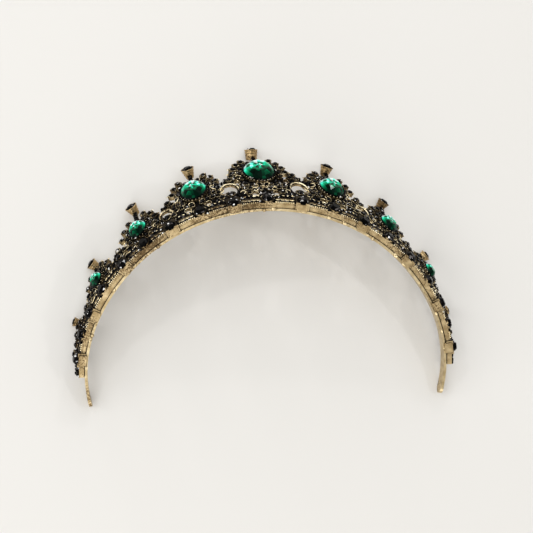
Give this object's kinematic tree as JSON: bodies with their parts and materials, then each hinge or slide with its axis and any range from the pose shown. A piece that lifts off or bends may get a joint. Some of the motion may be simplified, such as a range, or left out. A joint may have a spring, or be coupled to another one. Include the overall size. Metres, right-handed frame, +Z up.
{
  "type": "baroque tiara",
  "caption": "Arched baroque tiara of cast openwork settings with faceted oval green and black stones on a plain spring headband.",
  "frame": {"origin": "middle of the bounding box at its base, on the surface that the tiara lies on, points down", "axes": "+X across the band from tip to tip, towards the wearer's left as seen from the front; -Y the way that the front faces; +Z up from the surface"},
  "size_m": [0.1526, 0.1036, 0.0341],
  "materials": {
    "strip_metal": "satin, aged",
    "cast_metal": "cast, darkened in the recesses",
    "green_crystal": "polished facets, foil backed",
    "black_crystal": "polished facets",
    "small_black_crystal": "polished facets"
  },
  "bodies": {
    "root": {"headband_strip": "strip_metal", "casting_centre": "cast_metal", "casting_right_1": "cast_metal", "casting_right_2": "cast_metal", "casting_right_3": "cast_metal", "casting_right_4": "cast_metal", "casting_left_1": "cast_metal", "casting_left_2": "cast_metal", "casting_left_3": "cast_metal", "casting_left_4": "cast_metal", "green_stone_centre": "green_crystal", "green_stone_right_1": "green_crystal", "green_stone_right_2": "green_crystal", "green_stone_right_3": "green_crystal", "green_stone_left_1": "green_crystal", "green_stone_left_2": "green_crystal", "green_stone_left_3": "green_crystal", "drop_stone_centre": "black_crystal", "drop_stone_right_1": "black_crystal", "drop_stone_right_2": "black_crystal", "drop_stone_right_3": "black_crystal", "drop_stone_right_4": "black_crystal", "drop_stone_left_1": "black_crystal", "drop_stone_left_2": "black_crystal", "drop_stone_left_3": "black_crystal", "drop_stone_left_4": "black_crystal", "top_stone_centre": "black_crystal", "top_stone_right_1": "black_crystal", "top_stone_right_2": "black_crystal", "top_stone_right_3": "black_crystal", "top_stone_right_4": "black_crystal", "top_stone_left_1": "black_crystal", "top_stone_left_2": "black_crystal", "top_stone_left_3": "black_crystal", "top_stone_left_4": "black_crystal", "band_stone_right_1": "black_crystal", "band_stone_right_2": "black_crystal", "band_stone_right_3": "black_crystal", "band_stone_right_4": "black_crystal", "band_stone_right_5": "black_crystal", "band_stone_left_1": "black_crystal", "band_stone_left_2": "black_crystal", "band_stone_left_3": "black_crystal", "band_stone_left_4": "black_crystal", "band_stone_left_5": "black_crystal", "small_stones_centre": "small_black_crystal", "small_stones_right": "small_black_crystal", "small_stones_left": "small_black_crystal"}
  },
  "joints": []
}
